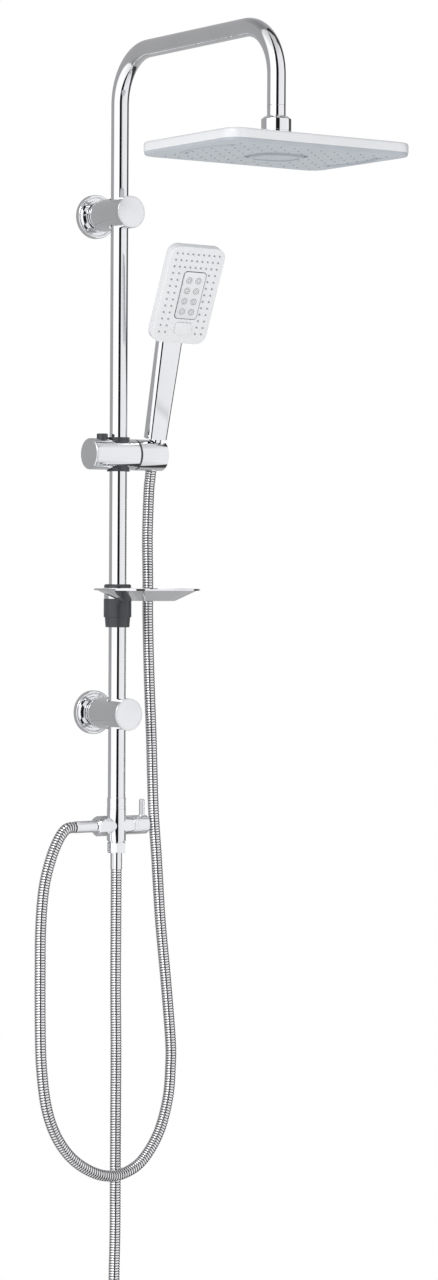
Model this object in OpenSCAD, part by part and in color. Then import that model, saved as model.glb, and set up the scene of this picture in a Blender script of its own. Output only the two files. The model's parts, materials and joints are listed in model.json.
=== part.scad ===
// Rainfall shower column: riser, arm, rain head, slider with handset, soap dish, diverter and hoses.
// +Z up, -Y out from the wall, +X to the right when facing the wall.
// Origin: centre of the lower wall plate's back face, on the wall.

/* [Riser and arm] */
// Distance from the wall to the riser's axis
wall_gap = 58; // [50:1:80]
// Height between the two wall brackets
bracket_spacing = 625; // [450:5:900]
// Height of the arm's centre line above the upper bracket
arm_rise = 198; // [110:1:400]
// Reach of the arm, from the riser's axis to the drop tube's axis
arm_reach = 333; // [240:1:450]
// Outer radius of the tubes
tube_r = 11; // [10:0.5:12.5]
// Wall thickness of the tubes
tube_wall = 1.2; // [0.8:0.1:1.5]
// Centre-line radius of the arm's bends
bend_r = 63; // [45:1:75]
// Length of the drop tube below the arm's second bend, with its end collar
drop_length = 48; // [40:1:120]

/* [Wall brackets] */
// Outer radius of the rosette
rosette_r = 27.5; // [26:0.5:35]
// Depth of the rosette, from the wall to its front rim
rosette_depth = 7.5; // [6:0.5:12]
// Outer radius of the barrel that holds the riser
barrel_r = 20; // [18:0.5:22]
// How far the barrel's cap stands in front of the riser's axis
barrel_front = 27.5; // [22:0.5:35]
// Distance between the wall screws
screw_spacing = 30; // [26:1:34]
// Radius of the wall screw holes
screw_hole_r = 2.6; // [2:0.1:3.2]

/* [Rain head] */
// Width of the rain head, along the wall
head_w = 262; // [200:1:320]
// Depth of the rain head, out from the wall
head_d = 196; // [160:1:280]
// Height of the rain head's rim
head_h = 16.3; // [14:0.1:24]
// Radius of the rain head's corners
head_corner = 22; // [12:1:40]
// Distance between neighbouring nozzles
nozzle_pitch = 19; // [14:0.5:24]
// Radius of the swivel ball
ball_r = 9.5; // [8.5:0.1:10.3]

/* [Slider and holder] */
// Height of the slider's axis above the lower bracket
slider_z = 324.5; // [260:0.5:420]
// Radius of the slider and the holder
slider_r = 19.5; // [18.5:0.5:22]
// Distance from the riser's axis to the slider's end cap
slider_left = 43.8; // [40:0.1:50]
// Distance from the riser's axis to the holder's outer end
holder_right = 63.5; // [63:0.5:72]
// Distance from the riser's axis to the handset's axis
socket_x = 52; // [51.5:0.5:56]
// Forward lean of the handset in its holder, in degrees
handle_lean = 13.8; // [0:0.1:25]
// Turn of the handset about its own axis, in degrees
handset_turn = -6.3; // [-15:0.1:15]

/* [Handset] */
// Length of the handle below the head
handle_length = 122; // [90:1:150]
// Width of the handset's head
face_w = 76; // [72:1:95]
// Height of the handset's head
face_h = 126; // [124:1:150]
// Forward bend of the head against the handle, in degrees
head_bend = 11.1; // [0:0.1:20]

/* [Soap dish] */
// Height of the dish's rim above the lower bracket
dish_z = 157.3; // [140:0.1:200]
// Width of the dish
dish_w = 126; // [110:1:160]
// Depth of the dish, out from the wall
dish_d = 106; // [96:1:130]
// Height of the dish's bowl
dish_h = 15; // [12:0.5:22]

/* [Diverter and hoses] */
// Height of the diverter's cross axis, below the lower bracket
diverter_z = -140; // [-200:1:-100]
// Thickness of the diverter's wall round the riser
diverter_wall = 1; // [0.9:0.1:3]
// Outer radius of both hoses
hose_r = 7.1; // [6.5:0.1:7.3]
// Height of the supply hose's lower end
supply_end_z = -735; // [-900:1:-600]

/* [Hidden] */

$fn = 64;
chrome = "gainsboro";
dark = "dimgray";
white = "whitesmoke";
cut = 1;              // how far a cutting shape runs past the face it cuts
fit = 0.05;           // radial clearance of a running or seated fit
loose = 0.3;          // gap between pieces that only lie beside each other
tube_in = tube_r - tube_wall;
arm_height = bracket_spacing + arm_rise;

// Half-inch threads, drawn plain at their radii
thread_r = 10.4;
thread_core = 9.3;
thread_depth = 9;
water_r = 7;
nut_flats = 22;
nut_r = nut_flats / 2 / cos(30);

// Bracket, measured out from the wall
plate_t = 3;
plate_r = 22.5;
boss_r = 10;
boss_end = 28;
barrel_start = plate_t + loose;
screw_head_room = 6;
cap_t = 4.8;
barrel_end = wall_gap + barrel_front - cap_t;
cap_spigot_r = barrel_r - 5;
cap_spigot = 5.5;
bush_r = tube_r + 1.95;
bush_h = 29;
grub_r = 2.5;
boss_screw_y = boss_end - 10;

// Upper bracket, coupler and arm
joint_z = bracket_spacing;
coupler_h = 50;
coupler_r = tube_in - 0.1;
coupler_wall = 1.7;
groove_w = 1.4;
groove_r = coupler_r - 1.2;
ring_r = 0.6;
groove_zs = [-17, -9, 9, 17];
arm_low = arm_height - bend_r;
collar_h = 12.3;
collar_bottom = arm_low - drop_length;
collar_top = collar_bottom + collar_h;
arm_y = -wall_gap - arm_reach;

// Swivel joint and rain head, hung from the arm's end
swivel_r = 17.75;
swivel_top = collar_bottom - 1;
collar_spigot = 8.4;
ball_cut = ball_r - 1.5;
ball_z = collar_bottom - collar_spigot - 1.1 - ball_cut;
swivel_bottom = ball_z - 5;
stud_neck_r = 5.5;
flange_h = 2.7;
flange_top = ball_z - ball_r + 1;
boss_top = flange_top - flange_h - fit;
head_top = boss_top - 2.4;
head_bottom = head_top - head_h;
boss_out_r = 20;
shell_wall = 3;
roof = 3.6;
roof_z = head_top - roof;
washer_low = ball_z + ball_r / 2 - 0.75;
washer_high = collar_bottom - collar_spigot - loose;
face_t = 2.3;
face_z = head_bottom + 0.6;
mat_t = 1.8;
mat_z = face_z + face_t + fit;
nozzle_r = 1.4;
nozzle_out = 1;
nozzle_gap = 0.2;
nozzle_nx = floor((head_w - 30) / nozzle_pitch);
nozzle_ny = floor((head_d - 24) / nozzle_pitch);
gasket_h = 1.6;
spreader_t = 1.4;

// Slider, measured from the riser's axis
sleeve_r = tube_r + 2.45;
pivot_head_x = sleeve_r + 0.75;
pivot_head_t = 4.8;
slider_end = pivot_head_x + pivot_head_t + 2.5;
ring_t = 2.6;
holder_left = slider_end + ring_t + 2 * 0.2;
end_cap_t = 2.4;
flange_r = sleeve_r + 0.9;
flange_gap = 0.3;
button_x = -24;
button_r = 7;
button_top = slider_r + 6;
button_foot = 12;
stem_r = 5;
stem_low = -4;
press_travel = 3;
spring_wire = 0.5;
shoe_r = 4;
pivot_r = 5;
pivot_head_r = 8;
pivot_end = holder_left + 12.5;
socket_low = -22;
socket_high = 22;
socket_r1 = 9.3;
socket_r2 = 11.5;
slot_w = 15;
cone_low = -slider_r + 1.5;
cone_high = slider_r - 4.5;
cone_gap = 0.35;

// Handset, along its own axis from the holder
handle_low = slider_r + 2.2;
handle_top = handle_low + handle_length;
tail_r = 7.5;
tail_low = -2;
neck_r = 8;
head_mid = 71.4;
face_front = 21.6;
face_corner = 13;
face_plate_t = 2.5;
rim_depth = 13;
back_depth = 4;
shell_t = 2.5;
jet_w = 30;
jet_h = 61;
jet_low = 32;
panel_x = 2;
button_w = 22;
button_h = 15;
button_low = 106;
row_pitch = 8.6;
row_low = 9;
row_count = 9;
col_count = floor((face_h - 2 * row_low) / row_pitch) - 2;
col_outer = 29.5;
col_inner = 21;
jet_zs = [43, 56.7, 70.4, 84.1];
jet_x = 6.4;

// Soap dish
dish_mid = dish_d / 2 + 13.5;
dish_corner = 42;
rim_t = 2.2;
dish_wall = 2;
collet_r = tube_r + 2.5;
dish_ring_r = collet_r + 3.5;
ring_low = dish_z - 13.1;
ring_high = dish_z + 0.4;
collar_rim = dish_z + 5;
sleeve_top = ring_low - 0.2;
sleeve_step = sleeve_top - 23;
sleeve_low = sleeve_step - 12.5;

// Diverter, measured from its cross axis
diverter_r = tube_r + diverter_wall;
body_top = diverter_z + 21;
body_bottom = diverter_z - 19;
riser_low = body_top - 12;
spigot = 9;
arm_x = 20.2;
knob_x = arm_x + 0.4;
knob_end = 43.4;
spindle_r = 4;
lever_r = 3.5;
lever_top = 32;
lever_x = 38;
outlet_x = -(diverter_r + 10.5);
washer_t = 1.6;
ferrule_r = hose_r + 0.3;
ferrule_flange = 9.8;
outlet_ferrule_x = -62;
nut_start = 14;
nut_end = 31;
supply_top = body_bottom - spigot;
supply_nut_top = body_bottom - 2;
supply_nut_low = supply_nut_top - 13;
supply_ferrule_low = supply_nut_low - 21;
end_sleeve_low = supply_end_z - 22.5;
end_nut_top = supply_end_z - 17;
end_thread_top = end_sleeve_low - 1.9;
end_nut_low = end_thread_top - 10.6;
end_nut_r = 12 / cos(30);

// Route of the shower hose: from the handset's cone nut down, round its loop and into the outlet ferrule
hose_points = [
    [52, -54, 306.8], [52, -52, 296], [51, -51, 282], [49, -52, 250], [47, -54, 217], [46, -57, 167],
    [45, -59, 117], [47, -60, 41], [50, -61, -34], [53, -62, -122], [57, -64, -185], [61, -67, -261],
    [67, -71, -336], [72, -75, -412], [71, -77, -446], [65, -80, -486], [49, -83, -528], [22, -86, -560],
    [-7, -87, -573], [-34, -87, -573], [-61, -86, -562], [-85, -84, -543], [-104, -82, -515],
    [-116, -80, -479], [-121, -77, -430], [-121, -74, -382], [-119, -70, -321], [-116, -66, -261],
    [-109, -62, -213], [-98, -60, -178], [-86, -59, -154], [-74.5, -58, -142], [-63, -58, -140]
];
// Route of the supply hose: straight down under its own weight
supply_points = [
    [0, -58, -195.2], [0, -58, -260], [0, -58, -340], [1, -58, -420], [1, -58, -500],
    [1, -58, -580], [1, -58, -650], [0, -58, -700], [0, -58, -734.8]
];

// ---------- shared shapes ----------

module at_riser(z) { translate([0, -wall_gap, z]) children(); }
module at_arm_end() { translate([0, arm_y, 0]) children(); }
module outward() { rotate([90, 0, 0]) children(); }
module sideways() { rotate([0, 90, 0]) children(); }
module at_slider() { at_riser(slider_z) children(); }
module in_holder() { at_slider() translate([socket_x, 0, 0]) rotate([handle_lean, 0, 0]) children(); }
module in_handset() { in_holder() rotate([0, 0, handset_turn]) children(); }
module in_head() { in_handset() translate([0, 0, handle_top]) rotate([head_bend, 0, 0]) children(); }

// A round bar or ring from z0 to z1
module bar(r, z0, z1) { translate([0, 0, z0]) cylinder(r = r, h = z1 - z0); }
module ring(r_out, r_in, z0, z1) {
    difference() {
        bar(r_out, z0, z1);
        bar(r_in, z0 - cut, z1 + cut);
    }
}
// A hexagonal bar from z0 to z1
module hex(r, z0, z1) { translate([0, 0, z0]) cylinder(r = r, h = z1 - z0, $fn = 6); }

// A flat slab with round corners, centred on the origin, from z0 to z1
module slab(w, d, r, z0, z1) {
    translate([0, 0, z0]) linear_extrude(z1 - z0) {
        square([w - 2 * r, d], center = true);
        square([w, d - 2 * r], center = true);
        for (x = [-1, 1], y = [-1, 1])
            translate([x * (w / 2 - r), y * (d / 2 - r)]) circle(r = r);
    }
}

// A tube swept along the points of a route, with flat ends
sides = 10;
function unit(v) = v / norm(v);
function heading(p, i) = unit(p[min(i + 1, len(p) - 1)] - p[max(i - 1, 0)]);
// A section's own axes: one level with the wall's normal, one square to both
function across(t) = unit(cross(t, [0, 1, 0]));
function section(p, i, r) = let(t = heading(p, i), u = across(t), v = cross(t, u))
    [for (k = [0 : sides - 1]) p[i] + r * (cos(k * 360 / sides) * u + sin(k * 360 / sides) * v)];
module swept(p, r) {
    n = len(p);
    points = [for (i = [0 : n - 1]) each section(p, i, r)];
    walls = [for (i = [0 : n - 2], k = [0 : sides - 1]) let(m = (k + 1) % sides)
        [i * sides + k, (i + 1) * sides + k, (i + 1) * sides + m, i * sides + m]];
    start = [[for (k = [0 : sides - 1]) k]];
    end = [[for (k = [sides - 1 : -1 : 0]) (n - 1) * sides + k]];
    polyhedron(points, concat(start, walls, end));
}
// Points between the route's own points on a smooth curve through them
function between(p, i, t) = let(
    a = p[max(i - 1, 0)], b = p[i], c = p[i + 1], d = p[min(i + 2, len(p) - 1)])
    0.5 * (2 * b + (c - a) * t + (2 * a - 5 * b + 4 * c - d) * t * t
        + (3 * b - a - 3 * c + d) * t * t * t);
function smooth(p, steps) = concat(
    [for (i = [0 : len(p) - 2], s = [0 : steps - 1]) between(p, i, s / steps)], [p[len(p) - 1]]);

// A coil spring standing on z0
module coil(r, z0, z1, turns) {
    n = turns * 14;
    rise = z1 - z0 - 2 * spring_wire;
    route = [for (i = [0 : n])
        [r * cos(i * 360 / 14), r * sin(i * 360 / 14), z0 + spring_wire + rise * i / n]];
    function turn_point(i, k) = let(a = i * 360 / 14, w = k * 60)
        route[i] + spring_wire * [cos(a) * cos(w), sin(a) * cos(w), sin(w)];
    points = [for (i = [0 : n], k = [0 : 5]) turn_point(i, k)];
    walls = [for (i = [0 : n - 1], k = [0 : 5]) let(m = (k + 1) % 6)
        [i * 6 + k, i * 6 + m, (i + 1) * 6 + m, (i + 1) * 6 + k]];
    polyhedron(points, concat([[5, 4, 3, 2, 1, 0]], walls, [[for (k = [0 : 5]) n * 6 + k]]));
}

// ---------- wall brackets ----------

module wall_plate() {
    difference() {
        outward() {
            bar(plate_r, 0, plate_t);
            bar(boss_r, 0, boss_end);
        }
        for (s = [-1, 1])
            translate([0, 0, s * screw_spacing / 2]) outward() bar(screw_hole_r, -cut, plate_t + cut);
    }
}
module rosette() {
    lip = rosette_r - 3;
    floor_low = barrel_start;
    floor_high = barrel_start + 1.6;
    outward() rotate_extrude() polygon([
        [plate_r + 2, 0], [rosette_r, 0], [rosette_r, rosette_depth - 0.8], [rosette_r - 0.8, rosette_depth],
        [lip, rosette_depth], [lip - 0.8, floor_high], [barrel_r + 0.2, floor_high],
        [barrel_r + 0.2, floor_low], [plate_r + 2, floor_low]
    ]);
}
module barrel() {
    difference() {
        outward() bar(barrel_r, barrel_start, barrel_end);
        outward() bar(boss_r + fit, barrel_start - cut, boss_end + loose);
        outward() bar(barrel_r - 1.8, barrel_start - cut, barrel_start + screw_head_room);
        outward() bar(cap_spigot_r, barrel_end - cap_spigot, barrel_end + cut);
        translate([0, -wall_gap, 0]) bar(bush_r + fit, -barrel_r - cut, barrel_r + cut);
        translate([0, -boss_screw_y, 0]) bar(grub_r + fit, -barrel_r - cut, -boss_r);
        translate([0, -wall_gap, 0]) sideways() bar(grub_r + fit, bush_r - cut, barrel_r + cut);
    }
}
module cap() {
    outward() {
        bar(cap_spigot_r - fit, barrel_end - cap_spigot + loose, barrel_end + 0.2);
        bar(barrel_r, barrel_end + 0.2, barrel_end + cap_t - 0.8);
        translate([0, 0, barrel_end + cap_t - 0.8]) cylinder(r1 = barrel_r, r2 = barrel_r - 0.8, h = 0.8);
    }
}
module riser_bush() {
    translate([0, -wall_gap, 0]) difference() {
        ring(bush_r, tube_r + fit, -bush_h / 2, bush_h / 2);
        sideways() bar(grub_r + 2 * fit, tube_r - cut, bush_r + cut);
    }
}
module grub_screw(length) {
    difference() {
        bar(grub_r, 0, length);
        hex(1.4, -cut, 2.5);
    }
}
module bracket_screws() {
    translate([0, -boss_screw_y, -barrel_r + 0.8]) grub_screw(barrel_r - boss_r - 0.9);
    translate([barrel_r - 0.8, -wall_gap, 0]) rotate([0, -90, 0]) grub_screw(barrel_r - tube_r - 0.9);
}

// ---------- riser and arm ----------

module pipe(length) { ring(tube_r, tube_in, 0, length); }
module bend() {
    translate([0, -bend_r, 0]) rotate([90, 0, 90]) rotate_extrude(angle = 90)
        translate([bend_r, 0]) difference() {
            circle(r = tube_r);
            circle(r = tube_in);
        }
}
module riser_tube() {
    color(chrome) at_riser(riser_low) pipe(joint_z - loose - riser_low);
}
module gooseneck_tube() {
    color(chrome) {
        at_riser(joint_z) pipe(arm_low - joint_z);
        at_riser(arm_low) bend();
        translate([0, -wall_gap - bend_r, arm_height]) outward() pipe(arm_reach - 2 * bend_r);
        at_arm_end() translate([0, 0, arm_low]) mirror([0, 1, 0]) bend();
        at_arm_end() translate([0, 0, collar_top + 0.1]) pipe(arm_low - collar_top - 0.1);
    }
}
module tube_coupler() {
    color("peru") at_riser(joint_z) difference() {
        ring(coupler_r, coupler_r - coupler_wall, -coupler_h / 2, coupler_h / 2);
        for (z = groove_zs) ring(coupler_r + cut, groove_r, z - groove_w / 2, z + groove_w / 2);
    }
}
module coupler_orings() {
    color("black") at_riser(joint_z) for (z = groove_zs)
        translate([0, 0, z]) rotate_extrude() translate([groove_r + ring_r + fit / 2, 0]) circle(r = ring_r);
}
module arm_collar() {
    color(chrome) at_arm_end() difference() {
        union() {
            bar(thread_r, collar_bottom - collar_spigot, collar_bottom + cut);
            bar(tube_r, collar_bottom, collar_top);
            bar(coupler_r, collar_top - cut, collar_top + 14);
        }
        bar(water_r, collar_bottom - 10, collar_top + 15);
    }
}

// ---------- rain head ----------

module swivel_nut() {
    color(chrome) at_arm_end() difference() {
        union() {
            translate([0, 0, swivel_bottom]) cylinder(r1 = swivel_r - 1, r2 = swivel_r, h = 1);
            bar(swivel_r, swivel_bottom + 1, swivel_top - 2.5);
            translate([0, 0, swivel_top - 2.5]) cylinder(r1 = swivel_r, r2 = swivel_r - 4, h = 2.5);
        }
        bar(thread_r + fit, ball_z, swivel_top + cut);
        translate([0, 0, ball_z]) sphere(r = ball_r + fit);
        bar(6, swivel_bottom - cut, ball_z);
    }
}
module ball_washer() {
    color("black") at_arm_end() difference() {
        ring(thread_r - 0.2, 5, washer_low, washer_high);
        translate([0, 0, ball_z]) sphere(r = ball_r + fit);
    }
}
module ball_stud() {
    color("peru") at_arm_end() difference() {
        union() {
            intersection() {
                translate([0, 0, ball_z]) sphere(r = ball_r);
                bar(ball_r, ball_z - ball_r, ball_z + ball_cut);
            }
            bar(stud_neck_r, flange_top - cut, ball_z);
            hex(13.4, flange_top - flange_h, flange_top);
            bar(thread_r, boss_top - thread_depth, flange_top - flange_h + cut);
        }
        bar(3.5, boss_top - thread_depth - cut, ball_z + ball_r);
    }
}
module head_back_shell() {
    rim_z = head_top - 4;
    color(white) at_arm_end() difference() {
        union() {
            hull() {
                slab(head_w, head_d, head_corner, head_bottom, rim_z, $fn = 32);
                slab(head_w - 8, head_d - 8, head_corner - 4, rim_z, head_top, $fn = 32);
            }
            bar(boss_out_r, roof_z - 4, boss_top);
        }
        difference() {
            slab(head_w - 2 * shell_wall, head_d - 2 * shell_wall, head_corner - shell_wall,
                head_bottom - cut, roof_z);
            bar(16, roof_z - 4, roof_z + cut);
        }
        bar(thread_r + fit, roof_z - 10, boss_top + cut);
    }
}
module head_plate(margin, z0, z1) {
    inset = shell_wall + margin;
    slab(head_w - 2 * inset, head_d - 2 * inset, head_corner - inset, z0, z1);
}
module at_nozzles() {
    for (i = [0 : nozzle_nx - 1], j = [0 : nozzle_ny - 1])
        translate([(i - (nozzle_nx - 1) / 2) * nozzle_pitch, (j - (nozzle_ny - 1) / 2) * nozzle_pitch, 0])
            children();
}
module head_gasket() {
    z = face_z + face_t + fit;
    color("black") at_arm_end() difference() {
        head_plate(0.3, z, z + gasket_h);
        head_plate(2.6, z - cut, z + gasket_h + cut);
    }
}
module head_spreader() {
    z = mat_z + mat_t + 1.5;
    color(white) at_arm_end() difference() {
        head_plate(1, z, z + spreader_t);
        for (x = [-1, 1], y = [-1, 1]) translate([x * 40, y * 30, 0]) bar(8, z - cut, z + spreader_t + cut);
    }
}
module head_nozzle_mat() {
    color("lightgray") at_arm_end() {
        head_plate(3, mat_z, mat_z + mat_t);
        at_nozzles() bar(nozzle_r, face_z - nozzle_out, mat_z + fit);
    }
}
module head_face_plate() {
    color("lightsteelblue") at_arm_end() difference() {
        head_plate(0.15, face_z, face_z + face_t);
        at_nozzles() bar(nozzle_r + nozzle_gap, face_z - cut, face_z + face_t + cut, $fn = 24);
    }
}

// ---------- slider and holder ----------

module slider_bush() {
    flange_z = slider_r + flange_gap;
    color(dark) at_slider() difference() {
        union() {
            bar(sleeve_r, -flange_z - 1, flange_z + 1);
            for (s = [-1, 1]) translate([0, 0, s * (flange_z + 0.75)]) bar(flange_r, -0.75, 0.75);
        }
        bar(tube_r + fit, -30, 30);
        translate([-1, 0, -30]) cube([2, 30, 60]);
    }
}
module slider_body() {
    color(chrome) at_slider() difference() {
        sideways() bar(slider_r, -slider_left + end_cap_t + 0.2, slider_end);
        bar(sleeve_r + fit, -30, 30);
        sideways() bar(12.1, -slider_left, -slider_left + end_cap_t + 5);
        translate([button_x, 0, 0]) {
            bar(button_r + loose, button_foot - press_travel - 0.5, 30);
            bar(stem_r + loose, stem_low - press_travel - 1, button_foot);
            bar(4, -17, 0);
        }
        sideways() bar(shoe_r + 0.1, button_x + stem_r, -sleeve_r + cut);
        sideways() bar(pivot_head_r + loose, sleeve_r - 2, pivot_head_x + pivot_head_t + 0.2);
        sideways() bar(pivot_r + fit, pivot_head_x, slider_end + cut);
    }
}
module slider_end_cap() {
    color("silver") at_slider() sideways() {
        bar(12, -slider_left + end_cap_t - cut, -slider_left + end_cap_t + 4.5);
        bar(slider_r, -slider_left + 0.6, -slider_left + end_cap_t);
        translate([0, 0, -slider_left]) cylinder(r1 = slider_r - 0.6, r2 = slider_r, h = 0.6);
    }
}
module friction_ring() {
    color(dark) at_slider() sideways()
        ring(slider_r - 0.6, pivot_r + loose, slider_end + 0.2, slider_end + 0.2 + ring_t);
}
module lock_shoe() {
    color("black") at_slider() difference() {
        sideways() bar(shoe_r, button_x + stem_r + loose, -sleeve_r + 0.5);
        bar(sleeve_r + 0.1, -10, 10);
    }
}
module release_spring() {
    color("silver") at_slider() translate([button_x, 0, 0]) coil(3.2, -16.9, stem_low - 0.1, 5);
}
module release_button() {
    color(dark) at_slider() translate([button_x, 0, 0]) {
        bar(stem_r, stem_low, button_foot + cut);
        bar(button_r, button_foot, button_top - 0.8);
        translate([0, 0, button_top - 0.8]) cylinder(r1 = button_r, r2 = button_r - 0.8, h = 0.8);
    }
}
// The cone's radius at height w on the holder's axis
function socket_r(w) = socket_r1 + (socket_r2 - socket_r1) * (w - socket_low) / (socket_high - socket_low);
module holder() {
    over = 6;
    color(chrome) difference() {
        at_slider() sideways() bar(slider_r, holder_left, holder_right);
        in_holder() translate([0, 0, socket_low - over])
            cylinder(r1 = socket_r(socket_low - over), r2 = socket_r(socket_high + over),
                h = socket_high - socket_low + 2 * over);
        in_holder() translate([0, -slot_w / 2, -35]) cube([holder_right, slot_w, 70]);
        at_slider() sideways() bar(pivot_r - 0.1, holder_left - cut, pivot_end + 0.2);
    }
}
module holder_pivot() {
    color("silver") at_slider() sideways() difference() {
        union() {
            bar(pivot_head_r, pivot_head_x, pivot_head_x + pivot_head_t);
            bar(pivot_r, pivot_head_x, holder_left);
            bar(pivot_r - 0.15, holder_left - cut, pivot_end);
        }
        hex(3.4, pivot_head_x - cut, pivot_head_x + 3);
    }
}

// ---------- handset ----------

// The outer form of the handset's head, grown or shrunk by g, open towards the face
module head_form(g, front) {
    rim_y = face_front - rim_depth;
    in_head() translate([0, 0, head_mid]) outward() hull() {
        slab(face_w + 2 * g, face_h + 2 * g, face_corner + g, rim_y, front, $fn = 32);
        translate([0, -6, 0]) slab(face_w - 34 + 2 * g, face_h - 32 + 2 * g, face_corner + g,
            -back_depth - g, -back_depth - g + 1, $fn = 32);
    }
}
module handle_bar() {
    hull() {
        slab(28, 18, 6, handle_low, handle_low + 2, $fn = 32);
        slab(33, 17, 6, handle_top, handle_top + 22, $fn = 32);
    }
}
module handset_handle() {
    color(chrome) difference() {
        in_handset() union() {
            handle_bar();
            bar(neck_r, cone_high + 0.2, handle_low + cut);
            bar(tail_r, tail_low, cone_high + cut);
        }
        head_form(0.05, face_front);
        in_handset() bar(4.5, tail_low - cut, handle_top + 40);
    }
}
module handset_back() {
    color(chrome) difference() {
        head_form(0, face_front - face_plate_t - 0.1);
        head_form(-shell_t, face_front + cut);
        in_handset() bar(4.6, handle_top - 4, handle_top + 30);
    }
}
// The face's own frame: x across, y up the face, z out of the face, from the top edge down
module on_face() { in_head() translate([0, 0, head_mid]) outward() children(); }
module at_face_rows() {
    for (r = [0 : 2], i = [0 : row_count - 1])
        translate([(i - (row_count - 1) / 2) * (2 * col_outer / (row_count - 1)),
            face_h / 2 - row_low - r * row_pitch, 0]) children();
    for (s = [-1, 1], c = [col_outer, col_inner], i = [0 : col_count - 1])
        translate([s * c, face_h / 2 - row_low - (i + 3) * row_pitch, 0]) children();
}
module mode_window(g, z0, z1) {
    translate([panel_x, face_h / 2 - button_low, 0]) slab(button_w + 2 * g, button_h + 2 * g, 4, z0, z1);
}
module handset_face() {
    color(white) on_face() difference() {
        slab(face_w, face_h, face_corner, face_front - face_plate_t, face_front);
        at_face_rows() bar(1.6, 0, face_front + cut, $fn = 16);
        mode_window(loose, 0, face_front + cut);
    }
}
module handset_nozzle_mat() {
    mat_high = face_front - face_plate_t - 0.1;
    inset = 2 * shell_t + 1;
    color("lightgray") on_face() {
        difference() {
            slab(face_w - inset, face_h - inset, face_corner - 3, mat_high - 1.4, mat_high);
            mode_window(2, 0, face_front);
        }
        at_face_rows() bar(1.3, mat_high - 0.5, face_front + 0.7, $fn = 16);
    }
}
module jet_panel() {
    color(chrome) on_face() translate([panel_x, face_h / 2 - jet_low - jet_h / 2, 0])
        slab(jet_w, jet_h, 4, face_front + 0.05, face_front + 1.2);
}
module jet_nozzles() {
    color("silver") on_face() for (s = [-1, 1], z = jet_zs)
        translate([panel_x + s * jet_x, face_h / 2 - z, 0])
            ring(4.3, 1.2, face_front + 1.25, face_front + 2.3);
}
module selector_plate() {
    color(white) on_face() slab(58, 96, 8, face_front - 10.5, face_front - 8.5);
}
module mode_spring() {
    color("silver") on_face() translate([panel_x, face_h / 2 - button_low, 0])
        coil(2.6, face_front - 8.4, face_front - 3.6, 3);
}
module mode_button() {
    flange = face_front - face_plate_t - 0.2;
    color(white) on_face() {
        mode_window(0, flange - 0.7, face_front + 1.8);
        mode_window(1.2, flange - 1, flange);
    }
}
module cone_nut() {
    color(chrome) in_handset() difference() {
        translate([0, 0, cone_low]) cylinder(r1 = socket_r(cone_low) - cone_gap,
            r2 = socket_r(cone_high) - cone_gap, h = cone_high - cone_low);
        bar(tail_r + fit, tail_low - 0.2, cone_high + cut);
        bar(tail_r, cone_low - cut, tail_low);
    }
}
module upper_ferrule() {
    color("peru") in_handset() ring(tail_r - fit, 4.5, cone_low + 0.2, tail_low - 0.4);
}

// ---------- soap dish ----------

module dish_collet() {
    color(dark) at_riser(0) difference() {
        union() {
            bar(collet_r, sleeve_step + 1, collar_rim - 1);
            bar(dish_ring_r, ring_high + 0.2, collar_rim - 1.5);
            translate([0, 0, collar_rim - 1.5]) cylinder(r1 = dish_ring_r, r2 = dish_ring_r - 1.5, h = 1.5);
        }
        bar(tube_r + fit, 0, collar_rim + cut);
    }
}
module dish_sleeve() {
    color(dark) at_riser(0) difference() {
        union() {
            bar(dish_ring_r + 0.4, sleeve_step, sleeve_top);
            translate([0, 0, sleeve_low])
                cylinder(r1 = dish_ring_r - 2, r2 = dish_ring_r - 1, h = sleeve_step - sleeve_low);
        }
        bar(collet_r + fit, sleeve_step + 0.8, sleeve_top + cut);
        bar(tube_r + loose, sleeve_low - cut, sleeve_top);
    }
}
module dish_bowl(g) {
    slab(dish_w - 8 - 2 * g, dish_d - 8 - 2 * g, dish_corner - 4 - g, -rim_t, 0, $fn = 32);
    slab(dish_w - 56 - 2 * g, dish_d - 50 - 2 * g, dish_corner - 16 - g,
        -dish_h + g, -dish_h + g + 1, $fn = 32);
}
module soap_dish() {
    color(chrome) at_riser(0) difference() {
        union() {
            difference() {
                translate([0, -dish_mid, dish_z]) {
                    slab(dish_w, dish_d, dish_corner, -rim_t, 0);
                    hull() dish_bowl(0);
                }
                translate([0, -dish_mid, dish_z + 0.2]) hull() dish_bowl(dish_wall);
                for (i = [-2 : 2]) translate([i * 12, -dish_mid, dish_z - 8]) slab(4, 36, 1.9, -12, 4);
            }
            bar(dish_ring_r, ring_low, ring_high);
        }
        bar(collet_r + fit, ring_low - cut, dish_z + 10);
        ring(dish_ring_r + 0.6, collet_r, ring_high, dish_z + 10);
    }
}

// ---------- diverter and hoses ----------

module diverter_body() {
    color(chrome) at_riser(0) difference() {
        union() {
            bar(diverter_r, body_bottom, body_top - 0.2);
            bar(thread_r, body_bottom - spigot, body_bottom + cut);
            translate([0, 0, diverter_z]) sideways() bar(diverter_r, 0, arm_x);
            translate([0, 0, diverter_z]) sideways() bar(thread_r, outlet_x, 0);
        }
        bar(tube_r + fit, riser_low - 0.2, body_top + cut);
        bar(water_r, body_bottom - spigot - cut, riser_low);
        translate([0, 0, diverter_z]) sideways() bar(water_r - cut, outlet_x - cut, 0);
        translate([0, 0, diverter_z]) sideways() bar(9.3, -6.6, arm_x + cut);
    }
}
module diverter_collar() {
    color(chrome) at_riser(0) ring(diverter_r - 0.2, tube_r + fit, body_top, body_top + 14);
}
module diverter_cartridge() {
    color("peru") at_riser(diverter_z) sideways() difference() {
        bar(9.2, -6.4, arm_x);
        bar(spindle_r + fit, 4, arm_x + cut);
        translate([2, 0, -3.5]) rotate([0, 90, 0]) bar(3, -12, 0);
    }
}
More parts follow.
